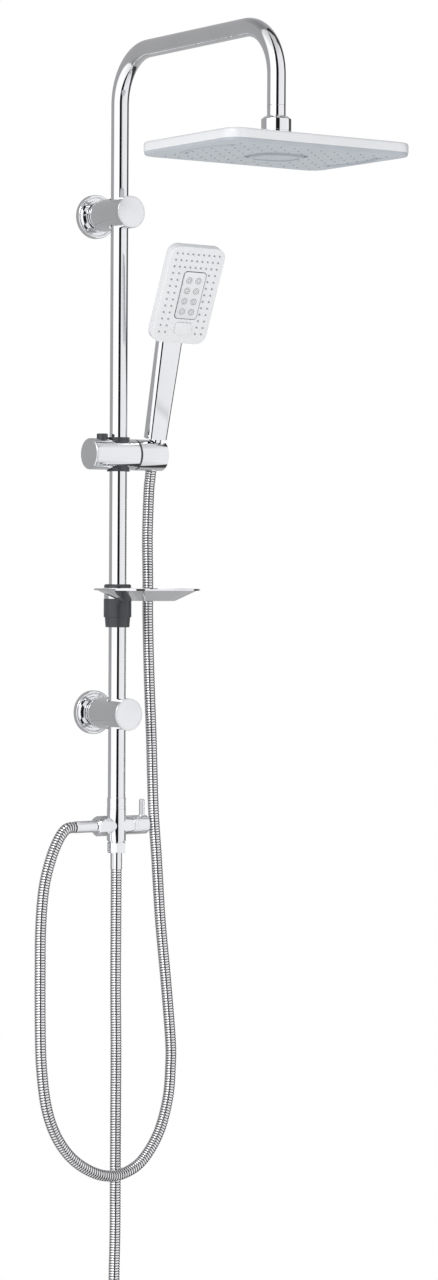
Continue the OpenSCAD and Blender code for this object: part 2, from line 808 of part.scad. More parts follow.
module diverter_knob() {
    color(chrome) at_riser(diverter_z) difference() {
        sideways() {
            bar(spindle_r, 4.5, knob_x + cut);
            bar(diverter_r, knob_x, knob_end - 0.8);
            translate([0, 0, knob_end - 0.8]) cylinder(r1 = diverter_r, r2 = diverter_r - 0.8, h = 0.8);
        }
        translate([lever_x, 0, 0]) bar(lever_r + fit, 5, diverter_r + cut);
    }
}
module diverter_lever() {
    color(chrome) at_riser(diverter_z) translate([lever_x, 0, 0]) {
        bar(lever_r, 5.2, lever_top - 1);
        translate([0, 0, lever_top - 1]) cylinder(r1 = lever_r, r2 = lever_r - 1, h = 1);
    }
}
module outlet_nut() {
    color(chrome) at_riser(diverter_z) rotate([0, -90, 0]) difference() {
        hex(nut_r, nut_start, nut_end);
        bar(thread_r + fit, nut_start - cut, nut_end - 3.8);
        bar(ferrule_r + 0.2, nut_end - 4, nut_end + cut);
    }
}
module outlet_ferrule() {
    color(chrome) at_riser(diverter_z) rotate([0, -90, 0]) difference() {
        union() {
            bar(ferrule_flange, -outlet_x + washer_t + 0.4, nut_end - 4);
            bar(ferrule_r, -outlet_x + washer_t + 0.4, -outlet_ferrule_x);
        }
        bar(4.5, 0, 100);
    }
}
module shower_hose() {
    color("silver") swept(smooth(hose_points, 2), hose_r);
}
module supply_nut() {
    color(chrome) at_riser(0) difference() {
        hex(nut_r, supply_nut_low, supply_nut_top);
        bar(thread_r + fit, supply_nut_low + 2.1, supply_nut_top + cut);
        bar(ferrule_r + 0.2, supply_nut_low - cut, supply_nut_top);
    }
}
module supply_ferrules() {
    flange_z = supply_nut_low + 2.2;
    color(chrome) at_riser(0) {
        difference() {
            union() {
                bar(ferrule_r, supply_ferrule_low, flange_z + 1.6);
                bar(ferrule_flange, flange_z, flange_z + 1.6);
            }
            bar(4.5, supply_ferrule_low - cut, flange_z + 5);
        }
        difference() {
            union() {
                bar(ferrule_r, end_sleeve_low - 1.6, supply_end_z - 0.2);
                bar(thread_core - loose, end_sleeve_low - 1.6, end_sleeve_low);
            }
            bar(4.5, end_sleeve_low - 5, supply_end_z + cut);
        }
    }
}
module supply_hose() {
    color("silver") swept(supply_points, hose_r);
}
module supply_end_nut() {
    color(chrome) at_riser(0) difference() {
        hex(end_nut_r, end_nut_low, end_nut_top);
        bar(ferrule_r + 0.1, end_nut_low, end_nut_top + cut);
        bar(thread_core + 0.3, end_thread_top, end_sleeve_low + 0.3);
        bar(thread_core, end_nut_low - cut, end_thread_top + 0.1);
    }
}
module sealing_washers() {
    color("black") {
        at_riser(diverter_z) rotate([0, -90, 0]) ring(9.6, 5.5, -outlet_x + 0.2, -outlet_x + 0.2 + washer_t);
        at_riser(supply_top - 0.2 - washer_t) ring(9.6, 5.5, 0, washer_t);
    }
}

module lower_wall_plate() { color("silver") wall_plate(); }
module lower_rosette() { color(chrome) rosette(); }
module lower_barrel() { color(chrome) barrel(); }
module lower_cap() { color("silver") cap(); }
module lower_bush() { color(white) riser_bush(); }
module at_upper() { translate([0, 0, bracket_spacing]) children(); }
module upper_wall_plate() { color("silver") at_upper() wall_plate(); }
module upper_rosette() { color(chrome) at_upper() rosette(); }
module upper_barrel() { color(chrome) at_upper() barrel(); }
module upper_cap() { color("silver") at_upper() cap(); }
module upper_bush() { color(white) at_upper() riser_bush(); }
module grub_screws() {
    color("dimgray") {
        bracket_screws();
        at_upper() bracket_screws();
    }
}

lower_wall_plate();
lower_rosette();
lower_barrel();
lower_cap();
lower_bush();
upper_wall_plate();
upper_rosette();
upper_barrel();
upper_cap();
upper_bush();
grub_screws();
riser_tube();
gooseneck_tube();
tube_coupler();
coupler_orings();
arm_collar();
swivel_nut();
ball_washer();
ball_stud();
head_back_shell();
head_gasket();
head_spreader();
head_nozzle_mat();
head_face_plate();
slider_bush();
slider_body();
slider_end_cap();
friction_ring();
lock_shoe();
release_spring();
release_button();
holder();
holder_pivot();
handset_handle();
handset_back();
handset_face();
handset_nozzle_mat();
jet_panel();
jet_nozzles();
selector_plate();
mode_spring();
mode_button();
cone_nut();
upper_ferrule();
shower_hose();
outlet_ferrule();
outlet_nut();
dish_collet();
dish_sleeve();
soap_dish();
diverter_body();
diverter_collar();
diverter_cartridge();
diverter_knob();
diverter_lever();
supply_nut();
supply_ferrules();
supply_hose();
supply_end_nut();
sealing_washers();
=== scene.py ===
"""Rainfall shower column: the finished look of the riser, rain head, handset, soap dish, diverter and hoses."""
import json
import math

import bmesh
import bpy
from mathutils import Matrix, Vector


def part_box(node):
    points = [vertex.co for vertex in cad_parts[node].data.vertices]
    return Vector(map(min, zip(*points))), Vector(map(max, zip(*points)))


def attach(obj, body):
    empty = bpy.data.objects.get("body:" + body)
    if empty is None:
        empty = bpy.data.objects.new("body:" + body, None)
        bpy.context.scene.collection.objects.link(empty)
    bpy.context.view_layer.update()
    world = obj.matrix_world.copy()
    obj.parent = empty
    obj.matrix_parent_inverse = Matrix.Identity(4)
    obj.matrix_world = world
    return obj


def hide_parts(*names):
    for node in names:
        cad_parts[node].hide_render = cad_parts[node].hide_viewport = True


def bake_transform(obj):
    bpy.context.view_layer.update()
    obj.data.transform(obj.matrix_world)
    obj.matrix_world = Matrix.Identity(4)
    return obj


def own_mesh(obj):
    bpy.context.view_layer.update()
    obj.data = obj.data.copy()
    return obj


bl_info = {
    "name": "Rainfall Shower Column",
    "version": (1, 0, 0),
    "blender": (4, 5, 0),
    "location": "View3D > Sidebar > Shower",
    "description": "Builds the finished pieces of a wall-mounted rainfall shower column",
    "category": "Object",
}

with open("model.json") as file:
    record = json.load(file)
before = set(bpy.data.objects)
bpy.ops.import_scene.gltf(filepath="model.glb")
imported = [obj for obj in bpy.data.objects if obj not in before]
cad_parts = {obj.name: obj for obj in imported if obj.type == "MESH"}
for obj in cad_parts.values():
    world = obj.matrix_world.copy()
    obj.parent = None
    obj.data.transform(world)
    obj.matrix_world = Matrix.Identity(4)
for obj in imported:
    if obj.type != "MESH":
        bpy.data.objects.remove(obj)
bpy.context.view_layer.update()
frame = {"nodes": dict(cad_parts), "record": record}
MM = 0.001


# ---------- places taken from the frame ----------

def centre(node):
    """The middle of a CAD node's box."""
    low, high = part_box(node)
    return (Vector(low) + Vector(high)) / 2


RISER = Vector((0, centre("riser_tube").y, 0))
ARM_END = Vector((0, centre("arm_collar").y, 0))
SLIDER = centre("slider_body").z
DIVERTER = centre("diverter_knob").z
HEAD_LOW, HEAD_HIGH = (Vector(p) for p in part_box("head_back_shell"))
OUT = Vector((0, -1, 0))
UP = Vector((0, 0, 1))
RIGHT = Vector((1, 0, 0))

# Routes of the hoses, in millimetres
SHOWER_ROUTE = [
    (52, -54, 306.8), (52, -52, 296), (51, -51, 282), (49, -52, 250), (47, -54, 217), (46, -57, 167),
    (45, -59, 117), (47, -60, 41), (50, -61, -34), (53, -62, -122), (57, -64, -185), (61, -67, -261),
    (67, -71, -336), (72, -75, -412), (71, -77, -446), (65, -80, -486), (49, -83, -528), (22, -86, -560),
    (-7, -87, -573), (-34, -87, -573), (-61, -86, -562), (-85, -84, -543), (-104, -82, -515),
    (-116, -80, -479), (-121, -77, -430), (-121, -74, -382), (-119, -70, -321), (-116, -66, -261),
    (-109, -62, -213), (-98, -60, -178), (-86, -59, -154), (-74.5, -58, -142), (-63, -58, -140),
]
SUPPLY_ROUTE = [
    (0, -58, -195.2), (0, -58, -260), (0, -58, -340), (1, -58, -420), (1, -58, -500),
    (1, -58, -580), (1, -58, -650), (0, -58, -700), (0, -58, -734.8),
]

# Lengths of the hose's last stretches, from the handset down, in millimetres
HOSE_ENDS = (46, 38, 32)

# The handset's lean in its holder, its turn about its handle and the bend of its head, in degrees
HANDSET_ANGLES = (13.8, -6.3, 11.1)
# From the holder's socket to the head's foot and from there to the head's middle, in millimetres
HANDSET_LENGTHS = (143.7, 71.4)
# Middle of the holder's socket
SOCKET = Vector((0.052, RISER.y, SLIDER))

# The rain head: wall of its shell, radius of its corners and pitch of its nozzles, in millimetres
SHELL_WALL, HEAD_CORNER, HEAD_PITCH = 3, 22, 19
# The handset's face: width, height and corner radius, in millimetres
FACE = (76, 126, 13)
# Middles of the jet panel and of the button on the face, in millimetres
PANEL_AT = Vector((2 * MM, 0.5 * MM, 0))
BUTTON_AT = Vector((2 * MM, -43 * MM, 0))

# The room's brightness at turns from behind the camera, in degrees, to the right of it
ROOM = (
    (-180, 0.42), (-150, 0.36), (-84, 0.33), (-76, 1.0), (-5, 1.05), (-3.5, 0.01), (25, 0.01), (27, 0.80),
    (108, 0.84), (113, 0.05), (146, 0.05), (150, 0.42), (180, 0.42),
)
# The room's brightness against the sine of the height above the horizon
HEIGHTS = ((-1.0, 0.75), (-0.47, 1.05), (-0.455, 0.75), (-0.43, 1.0), (0.6, 1.0), (0.8, 0.75), (1.0, 0.6))


# ---------- settings a user would change ----------

class SHOWER_PG_stage(bpy.types.PropertyGroup):
    """Camera, floor and light."""
    lens: bpy.props.FloatProperty(name="Lens", description="Focal length of the camera", default=96.90, unit="CAMERA")
    place: bpy.props.FloatVectorProperty(
        name="Camera place", description="Where the camera stands", default=(-2.3645, -3.6664, 0.1867),
        subtype="TRANSLATION", unit="LENGTH")
    turn: bpy.props.FloatProperty(
        name="Turn", description="Turn of the camera away from facing the wall",
        default=math.radians(34.926), subtype="ANGLE")
    tilt: bpy.props.FloatProperty(
        name="Tilt", description="How far the camera looks down", default=math.radians(1.242), subtype="ANGLE")
    roll: bpy.props.FloatProperty(
        name="Roll", description="Roll of the camera about its own axis", default=math.radians(0.335),
        subtype="ANGLE")
    floor_drop: bpy.props.FloatProperty(
        name="Floor", description="Height of the floor below the lowest fitting", default=0.35, unit="LENGTH")
    backdrop: bpy.props.FloatVectorProperty(
        name="Backdrop", description="Colour of the floor and the room", default=(0.96, 0.96, 0.965), subtype="COLOR")


class SHOWER_PG_metal(bpy.types.PropertyGroup):
    """Colours of the metal finishes."""
    chrome: bpy.props.FloatVectorProperty(
        name="Chrome", description="Colour of the polished plate", default=(0.93, 0.935, 0.945), subtype="COLOR")
    satin: bpy.props.FloatVectorProperty(
        name="Satin chrome", description="Colour of the satin faces", default=(0.93, 0.935, 0.945), subtype="COLOR")
    hose: bpy.props.FloatVectorProperty(
        name="Hose steel", description="Colour of the hose's strip", default=(0.95, 0.95, 0.96), subtype="COLOR")


class SHOWER_PG_plastic(bpy.types.PropertyGroup):
    """Colours of the plastics."""
    white: bpy.props.FloatVectorProperty(
        name="White", description="Colour of the shells and the handset's face", default=(0.86, 0.87, 0.885),
        subtype="COLOR")
    face: bpy.props.FloatVectorProperty(
        name="Face", description="Colour of the rain head's face", default=(0.50, 0.54, 0.575), subtype="COLOR")
    dark: bpy.props.FloatVectorProperty(
        name="Dark", description="Colour of the clamps and the release button", default=(0.055, 0.06, 0.066),
        subtype="COLOR")


class SHOWER_PG_hose(bpy.types.PropertyGroup):
    """Build of the ribbed hoses."""
    radius: bpy.props.FloatProperty(
        name="Radius", description="Outer radius of the hose", default=7.1 * MM, unit="LENGTH")
    pitch: bpy.props.FloatProperty(
        name="Rib pitch", description="Length of one rib", default=3.3 * MM, unit="LENGTH")
    groove: bpy.props.FloatProperty(
        name="Groove", description="Depth of the groove between ribs", default=0.95 * MM, unit="LENGTH")


# ---------- shader node groups and materials ----------

def new_group(name, inputs, outputs):
    """An empty shader group with named sockets; each input is (name, default)."""
    group = bpy.data.node_groups.new(name, "ShaderNodeTree")
    for label, default in inputs:
        kind = "NodeSocketColor" if isinstance(default, tuple) else "NodeSocketFloat"
        group.interface.new_socket(name=label, in_out="INPUT", socket_type=kind).default_value = default
    for label, kind in outputs:
        group.interface.new_socket(name=label, in_out="OUTPUT", socket_type=kind)
    return group, group.nodes.new("NodeGroupInput"), group.nodes.new("NodeGroupOutput")


def math_node(tree, operation, a, b=0.0):
    """A Math node whose inputs are sockets or numbers."""
    node = tree.nodes.new("ShaderNodeMath")
    node.operation = operation
    for socket, value in zip(node.inputs, (a, b)):
        if isinstance(value, (int, float)):
            socket.default_value = value
        else:
            tree.links.new(value, socket)
    return node.outputs[0]


def noise(tree, coords, scale, detail=3.0, stretch=None):
    """A noise texture on object coordinates; scale is a socket or a number."""
    node = tree.nodes.new("ShaderNodeTexNoise")
    node.inputs["Detail"].default_value = detail
    if isinstance(scale, (int, float)):
        node.inputs["Scale"].default_value = scale
    else:
        tree.links.new(scale, node.inputs["Scale"])
    if stretch:
        turn = tree.nodes.new("ShaderNodeMapping")
        turn.inputs["Scale"].default_value = stretch
        tree.links.new(coords, turn.inputs["Vector"])
        coords = turn.outputs["Vector"]
    tree.links.new(coords, node.inputs["Vector"])
    return node.outputs["Fac"]


def spread_between(tree, value, low, high, to_low, to_high):
    """Maps a socket from low..high to to_low..to_high."""
    node = tree.nodes.new("ShaderNodeMapRange")
    for label, number in (("From Min", low), ("From Max", high), ("To Min", to_low), ("To Max", to_high)):
        if isinstance(number, (int, float)):
            node.inputs[label].default_value = number
        else:
            tree.links.new(number, node.inputs[label])
    tree.links.new(value, node.inputs["Value"])
    return node.outputs["Result"]


def handling_group():
    """Wiped smudges, fine hairline scratches and the plate's slight waviness."""
    group, given, result = new_group(
        "Handling marks",
        [("Roughness", 0.05), ("Smudge", 0.05), ("Scratch", 0.03), ("Shade", 0.04), ("Size", 20.0)],
        [("Roughness", "NodeSocketFloat"), ("Shade", "NodeSocketColor"), ("Height", "NodeSocketFloat")])
    coords = group.nodes.new("ShaderNodeTexCoord").outputs["Object"]
    wiped = spread_between(group, noise(group, coords, given.outputs["Size"], 4.0), 0.42, 0.75, 0.0, 1.0)
    hairs = spread_between(group, noise(group, coords, 900.0, 2.0, (1.0, 1.0, 0.04)), 0.66, 0.8, 0.0, 1.0)
    rough = math_node(group, "ADD", given.outputs["Roughness"],
                      math_node(group, "MULTIPLY", wiped, given.outputs["Smudge"]))
    rough = math_node(group, "ADD", rough, math_node(group, "MULTIPLY", hairs, given.outputs["Scratch"]))
    group.links.new(rough, result.inputs["Roughness"])
    dulled = math_node(group, "SUBTRACT", 1.0, math_node(group, "MULTIPLY", wiped, given.outputs["Shade"]))
    grey = group.nodes.new("ShaderNodeCombineColor")
    for socket in grey.inputs[:3]:
        group.links.new(dulled, socket)
    group.links.new(grey.outputs["Color"], result.inputs["Shade"])
    group.links.new(noise(group, coords, 60.0, 1.0), result.inputs["Height"])
    return group


def grain_group():
    """The fine even grain of moulded plastic or blasted metal, with a faint mottle."""
    group, given, result = new_group(
        "Moulded grain",
        [("Scale", 1500.0), ("Mottle", 0.04)],
        [("Height", "NodeSocketFloat"), ("Shade", "NodeSocketColor"), ("Rise", "NodeSocketFloat")])
    coords = group.nodes.new("ShaderNodeTexCoord").outputs["Object"]
    fine = noise(group, coords, given.outputs["Scale"], 2.0)
    group.links.new(fine, result.inputs["Height"])
    broad = spread_between(group, noise(group, coords, 35.0, 3.0), 0.35, 0.65, 0.0, 1.0)
    group.links.new(broad, result.inputs["Rise"])
    tone = math_node(group, "SUBTRACT", 1.0, math_node(group, "MULTIPLY", broad, given.outputs["Mottle"]))
    grey = group.nodes.new("ShaderNodeCombineColor")
    for socket in grey.inputs[:3]:
        group.links.new(tone, socket)
    group.links.new(grey.outputs["Color"], result.inputs["Shade"])
    return group


def start_material(name, colour, metallic, roughness):
    """A material with its Principled BSDF's constants set on the shader itself."""
    material = bpy.data.materials.new(name)
    material.use_nodes = True
    shader = material.node_tree.nodes["Principled BSDF"]
    shader.inputs["Base Color"].default_value = (*colour, 1.0)
    shader.inputs["Metallic"].default_value = metallic
    shader.inputs["Roughness"].default_value = roughness
    material.diffuse_color = (*colour, 1.0)
    return material, material.node_tree, shader


def place_group(tree, group, **values):
    """A group node in a material, with its own values."""
    node = tree.nodes.new("ShaderNodeGroup")
    node.node_tree = group
    for label, value in values.items():
        node.inputs[label].default_value = value
    return node


def multiplied(tree, first, second):
    """Two colours multiplied; the first is a socket or a fixed colour, the second a socket."""
    mix = tree.nodes.new("ShaderNodeMix")
    mix.data_type = "RGBA"
    mix.blend_type = "MULTIPLY"
    mix.inputs["Factor"].default_value = 1.0
    if isinstance(first, tuple):
        mix.inputs[6].default_value = (*first, 1.0)
    else:
        tree.links.new(first, mix.inputs[6])
    tree.links.new(second, mix.inputs[7])
    return mix.outputs[2]


def grey_ramp(tree, levels):
    """A colour ramp through grey levels, each at its position from 0 to 1."""
    node = tree.nodes.new("ShaderNodeValToRGB")
    stops = node.color_ramp.elements
    stops.remove(stops[-1])
    for index, (position, level) in enumerate(levels):
        stop = stops[0] if index == 0 else stops.new(position)
        stop.position = position
        stop.color = (level, level, level * 1.01, 1.0)
    return node


def bumped(tree, shader, height, depth, strength=1.0):
    """Feeds a height through a Bump node to the shader's normal."""
    bump = tree.nodes.new("ShaderNodeBump")
    bump.inputs["Strength"].default_value = strength
    bump.inputs["Distance"].default_value = depth
    tree.links.new(height, bump.inputs["Height"])
    tree.links.new(bump.outputs["Normal"], shader.inputs["Normal"])


def plated(name, colour, roughness, smudge, scratch, wave):
    """A plated or polished metal finish with handling marks."""
    material, tree, shader = start_material(name, colour, 1.0, roughness)
    marks = place_group(tree, groups["handling"], Roughness=roughness, Smudge=smudge, Scratch=scratch, Shade=0.05)
    tree.links.new(marks.outputs["Roughness"], shader.inputs["Roughness"])
    tree.links.new(multiplied(tree, colour, marks.outputs["Shade"]), shader.inputs["Base Color"])
    bumped(tree, shader, marks.outputs["Height"], wave)
    return material


def moulded(name, colour, roughness, grain, depth, coat=0.0, mottle=0.05, rise=0.08):
    """A moulded plastic or rubber with grain and a faint mottle."""
    material, tree, shader = start_material(name, colour, 0.0, roughness)
    skin = place_group(tree, groups["grain"], Scale=grain, Mottle=mottle)
    tree.links.new(multiplied(tree, colour, skin.outputs["Shade"]), shader.inputs["Base Color"])
    tree.links.new(spread_between(tree, skin.outputs["Rise"], 0.0, 1.0, roughness, roughness + rise),
                   shader.inputs["Roughness"])
    shader.inputs["Coat Weight"].default_value = coat
    shader.inputs["Coat Roughness"].default_value = 0.08
    bumped(tree, shader, skin.outputs["Height"], depth)
    return material


def ribbed_steel_with_groove_shade(name, colour):
    """Interlocked strip: bright on the ribs, dull in the grooves and darkened there by painted shade."""
    material, tree, shader = start_material(name, colour, 1.0, 0.16)
    rib = tree.nodes.new("ShaderNodeAttribute")
    rib.attribute_name = "rib"
    marks = place_group(tree, groups["handling"], Roughness=0.10, Smudge=0.06, Scratch=0.06, Shade=0.08)
    # Painted shade: the ramp runs from near-black at the groove floor to the strip's colour on the ribs.
    ramp = tree.nodes.new("ShaderNodeValToRGB")
    ramp.color_ramp.elements[0].color = (0.02, 0.02, 0.022, 1.0)
    ramp.color_ramp.elements[0].position = 0.38
    ramp.color_ramp.elements[1].color = (*colour, 1.0)
    ramp.color_ramp.elements[1].position = 0.72
    tree.links.new(rib.outputs["Fac"], ramp.inputs["Fac"])
    strip = multiplied(tree, ramp.outputs["Color"], marks.outputs["Shade"])
    tree.links.new(strip, shader.inputs["Base Color"])
    dull = spread_between(tree, rib.outputs["Fac"], 0.0, 1.0, 0.45, 0.0)
    tree.links.new(math_node(tree, "ADD", dull, marks.outputs["Roughness"]), shader.inputs["Roughness"])
    bumped(tree, shader, marks.outputs["Height"], 0.03 * MM)
    return material


def with_painted_bore_shade(material):
    """Paints shade into a moulded finish: darkens it where the piece's own attribute marks a bore or a groove."""
    tree = material.node_tree
    shader = tree.nodes["Principled BSDF"]
    skin = shader.inputs["Base Color"].links[0].from_socket
    bore_shade = tree.nodes.new("ShaderNodeAttribute")
    bore_shade.attribute_name = "bore_shade"
    mix = tree.nodes.new("ShaderNodeMix")
    mix.data_type = "RGBA"
    # The near-black colour of the painted shade in the bores and grooves.
    mix.inputs[7].default_value = (0.06, 0.065, 0.07, 1.0)
    tree.links.new(bore_shade.outputs["Fac"], mix.inputs["Factor"])
    tree.links.new(skin, mix.inputs[6])
    tree.links.new(mix.outputs[2], shader.inputs["Base Color"])
    return material


groups = {}
finishes = {}


def make_finishes(metal, plastic):
    """Builds every finish once, under the name of its record slot."""
    groups["handling"] = handling_group()
    groups["grain"] = grain_group()
    chrome, satin, dark = tuple(metal.chrome), tuple(metal.satin), tuple(plastic.dark)
    finishes.update({
        "chrome": plated("Polished chrome", chrome, 0.03, 0.03, 0.03, 0.004 * MM),
        "satin_chrome": plated("Satin chrome", satin, 0.22, 0.06, 0.05, 0.004 * MM),
        "chromed_plastic": plated("Chromed plastic", chrome, 0.04, 0.04, 0.03, 0.010 * MM),
        "plated_steel": plated("Zinc plated steel", (0.62, 0.62, 0.60), 0.3, 0.15, 0.1, 0.01 * MM),
        "brass": plated("Turned brass", (0.80, 0.62, 0.32), 0.25, 0.12, 0.1, 0.01 * MM),
        "hose_steel": ribbed_steel_with_groove_shade("Interlocked steel", tuple(metal.hose)),
        "white_plastic": moulded("Gloss white plastic", tuple(plastic.white), 0.18, 700.0, 0.01 * MM, 0.5, 0.02),
        "face_plastic": moulded("Blue-grey face", tuple(plastic.face), 0.38, 700.0, 0.01 * MM, 0.0, 0.05),
        "dark_plastic": moulded("Charcoal plastic", dark, 0.30, 1800.0, 0.03 * MM, 0.1, 0.15),
        "silicone": moulded("Grey silicone", (0.33, 0.35, 0.38), 0.42, 1200.0, 0.02 * MM, 0.0, 0.10),
        # The nozzle plastic has shade painted into its jets' bores, ring grooves and side walls.
        "jet_grey": with_painted_bore_shade(moulded("Grey nozzle plastic", (0.90, 0.905, 0.91), 0.22, 900.0, 0.01 * MM, 0.3, 0.06)),
        "seal_rubber": moulded("Black rubber", (0.02, 0.02, 0.02), 0.55, 1500.0, 0.03 * MM, 0.0, 0.15),
    })


def wear(obj, slot):
    """Gives an object its finish."""
    obj.data.materials.clear()
    obj.data.materials.append(finishes[slot])


# ---------- modelling helpers ----------

def nothing_selected():
    bpy.ops.object.select_all(action="DESELECT")


def activate(obj):
    """Makes an object the only selected and active one."""
    nothing_selected()
    obj.select_set(True)
    bpy.context.view_layer.objects.active = obj


def select_in_edit(obj, mode, wanted):
    """In edit mode, selects just the vertices, edges or faces whose bmesh element passes a test."""
    bpy.ops.mesh.select_mode(type=mode)
    bpy.ops.mesh.select_all(action="DESELECT")
    mesh = bmesh.from_edit_mesh(obj.data)
    for element in {"VERT": mesh.verts, "EDGE": mesh.edges, "FACE": mesh.faces}[mode]:
        if wanted(element):
            element.select_set(True)
    mesh.select_flush_mode()
    bmesh.update_edit_mesh(obj.data)


def settle(obj, turn=None):
    """Applies the object's transform, after an optional turn and shift, so that it sits at the origin."""
    if turn is not None:
        obj.data.transform(turn @ obj.matrix_world)
    else:
        obj.data.transform(obj.matrix_world)
    obj.matrix_world = Matrix.Identity(4)
    obj.data.update()


def smooth(obj, degrees=32):
    activate(obj)
    bpy.ops.object.shade_smooth_by_angle(angle=math.radians(degrees))


def new_piece(obj, name, slot, body, *nodes):
    """Names a finished piece, gives it its finish and body, and lets it stand for its CAD nodes."""
    obj.name = name
    obj.data.name = name
    wear(obj, slot)
    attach(obj, body)
    if nodes:
        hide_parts(*nodes)
    return obj


def along(direction, place):
    """Turns +Z to a direction and moves the origin to a place."""
    return Matrix.Translation(place) @ Vector(direction).to_track_quat("Z", "Y").to_matrix().to_4x4()


def rounded_outline(points, steps=4):
    """Outline points (radius, height, rounding) in millimetres, with each corner turned into an arc."""
    line = []
    count = len(points)
    for i, (r, z, rounding) in enumerate(points):
        here = Vector((r, z))
        if rounding == 0:
            line.append(here)
            continue
        before = (Vector(points[i - 1][:2]) - here).normalized()
        after = (Vector(points[(i + 1) % count][:2]) - here).normalized()
        half = before.angle(after) / 2
        reach = rounding / math.tan(half)
        hub = here + (before + after).normalized() * (rounding / math.sin(half))
        start, end = here + before * reach - hub, here + after * reach - hub
        sweep = math.atan2(start.x * end.y - start.y * end.x, start.dot(end))
        for k in range(steps + 1):
            turned_by = sweep * k / steps
            line.append(hub + Vector((start.x * math.cos(turned_by) - start.y * math.sin(turned_by),
                                      start.x * math.sin(turned_by) + start.y * math.cos(turned_by))))
    return line


def turned(points, frame_matrix, closed=False, steps=64, rounding_steps=4):
    """A piece turned on a lathe: an outline of (radius, height, rounding) spun about +Z, then put in place."""
    line = rounded_outline(points, rounding_steps)
    mesh = bpy.data.meshes.new("turned")
    edges = [(i, i + 1) for i in range(len(line) - 1)] + ([(len(line) - 1, 0)] if closed else [])
    mesh.from_pydata([(p.x * MM, 0, p.y * MM) for p in line], edges, [])
    obj = bpy.data.objects.new("turned", mesh)
    bpy.context.collection.objects.link(obj)
    activate(obj)
    bpy.ops.object.mode_set(mode="EDIT")
    bpy.ops.mesh.select_all(action="SELECT")
    bpy.ops.mesh.spin(steps=steps, angle=2 * math.pi, center=(0, 0, 0), axis=(0, 0, 1))
    bpy.ops.mesh.select_all(action="SELECT")
    bpy.ops.mesh.remove_doubles(threshold=0.002 * MM)
    bpy.ops.mesh.normals_make_consistent(inside=False)
    bpy.ops.object.mode_set(mode="OBJECT")
    settle(obj, frame_matrix)
    smooth(obj)
    return obj


def use_modifier(obj, kind, **values):
    """Adds a modifier, sets it and applies it."""
    activate(obj)
    modifier = obj.modifiers.new(kind, kind)
    for label, value in values.items():
        setattr(modifier, label, value)
    bpy.ops.object.modifier_apply(modifier=modifier.name)


def part_of(node):
    """The slot and the body of a CAD node."""
    slot = next(part["material_slot"] for part in frame["record"]["subparts"] if part["node"] == node)
    body = next(name for name, nodes in frame["record"]["behaviour"]["bodies"].items() if node in nodes)
    return slot, body


def finished(obj, name, node, slot=None):
    """Names a piece that stands for a CAD node; it takes the node's body, and its slot unless one is given."""
    own_slot, body = part_of(node)
    return new_piece(obj, name, slot or own_slot, body, node)


def softened(node, name, width, segments=3, degrees=28, slot=None):
    """A copy of a CAD node with its edges rounded over by some millimetres, in place of the node."""
    source = frame["nodes"][node]
    obj = bpy.data.objects.new(name, source.data.copy())
    bpy.context.collection.objects.link(obj)
    obj.data.transform(source.matrix_world)
    activate(obj)
    bpy.ops.object.mode_set(mode="EDIT")
    bpy.ops.mesh.select_all(action="SELECT")
    bpy.ops.mesh.remove_doubles(threshold=0.004 * MM)
    bpy.ops.mesh.dissolve_limited(angle_limit=math.radians(0.4))
    bpy.ops.object.mode_set(mode="OBJECT")
    use_modifier(obj, "BEVEL", width=width * MM, segments=segments, limit_method="ANGLE",
                 angle_limit=math.radians(degrees))
    smooth(obj, 30)
    return finished(obj, name, node, slot)


def slab(width, depth, corner, low, high, place, top=0.0, foot=0.0):
    """A flat slab with round corners, its top and foot edges rounded over, in millimetres."""
    bpy.ops.mesh.primitive_plane_add(size=1, location=(0, 0, low * MM))
    obj = bpy.context.object
    obj.scale = (width * MM, depth * MM, 1)
    bpy.ops.object.transform_apply(location=False, rotation=False, scale=True)
    bpy.ops.object.mode_set(mode="EDIT")
    bpy.ops.mesh.select_all(action="SELECT")
    bpy.ops.mesh.bevel(offset=corner * MM, segments=10, affect="VERTICES")
    bpy.ops.mesh.select_all(action="SELECT")
    bpy.ops.mesh.extrude_region_move(TRANSFORM_OT_translate={"value": (0, 0, (high - low) * MM)})
    middle = low * MM + (high - low) * MM / 2
    for rounding, sign in ((top, 1), (foot, -1)):
        if rounding:
            select_in_edit(obj, "EDGE", lambda edge: any(abs(face.normal.z) < 0.5 for face in edge.link_faces)
                           and all((obj.location.z + v.co.z - middle) * sign > 0 for v in edge.verts))
            bpy.ops.mesh.bevel(offset=rounding * MM, segments=4, affect="EDGES")
    bpy.ops.mesh.select_all(action="SELECT")
    bpy.ops.mesh.normals_make_consistent(inside=False)
    bpy.ops.object.mode_set(mode="OBJECT")
    settle(obj, place)
    return obj


def joined(first, *others):
    """Several objects as one."""
    nothing_selected()
    for obj in (first, *others):
        obj.select_set(True)
    bpy.context.view_layer.objects.active = first
    bpy.ops.object.join()
    return first


def carved(obj, cutter, operation="DIFFERENCE"):
    """An object cut by another, or kept only inside it."""
    use_modifier(obj, "BOOLEAN", object=cutter, operation=operation, solver="EXACT")
    bpy.data.objects.remove(cutter)
    return obj


def repeated(obj, places):
    """Copies of a small piece at each place, each with a mesh of its own, joined to one object."""
    copies = []
    for place in places[1:]:
        copy = bpy.data.objects.new(obj.name, obj.data.copy())
        bpy.context.collection.objects.link(copy)
        copy.data.transform(Matrix.Translation(place))
        copies.append(copy)
    obj.data.transform(Matrix.Translation(places[0]))
    return joined(obj, *copies)


